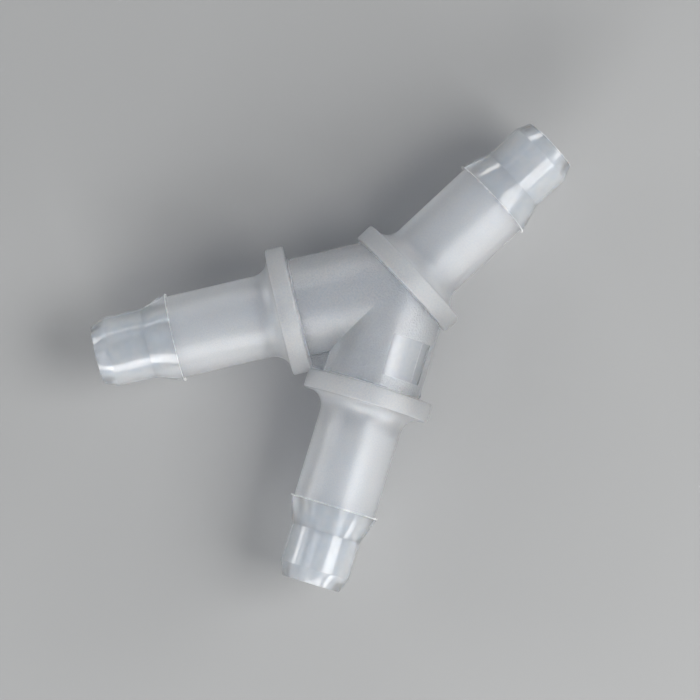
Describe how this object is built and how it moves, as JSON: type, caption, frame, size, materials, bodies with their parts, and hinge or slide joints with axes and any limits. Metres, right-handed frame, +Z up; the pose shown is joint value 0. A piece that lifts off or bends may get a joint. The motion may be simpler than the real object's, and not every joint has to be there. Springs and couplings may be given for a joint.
{
  "type": "barbed hose connector",
  "caption": "Y-shaped barbed hose connector in natural polypropylene, with a collar behind each spigot and a hub of two round stubs.",
  "frame": {"origin": "under the middle of the fitting's outline, on the surface that its collar rims rest on", "axes": "+X along the stem towards its tip, +Y towards the left arm, +Z up, square to the plane of the three axes"},
  "size_m": [0.0476, 0.0354, 0.0125],
  "materials": {
    "grained_body": "natural polypropylene, spark-eroded grain",
    "satin_shank": "natural polypropylene, satin",
    "polished_tip": "natural polypropylene, polished"
  },
  "bodies": {
    "root": {"wye_hub": "grained_body", "crotch_web": "grained_body", "stem_collar": "grained_body", "stem_shank": "satin_shank", "stem_barb": "polished_tip", "stem_nose": "polished_tip", "left_collar": "grained_body", "left_shank": "satin_shank", "left_barb": "polished_tip", "left_nose": "polished_tip", "right_collar": "grained_body", "right_shank": "satin_shank", "right_barb": "polished_tip", "right_nose": "polished_tip"}
  },
  "joints": []
}
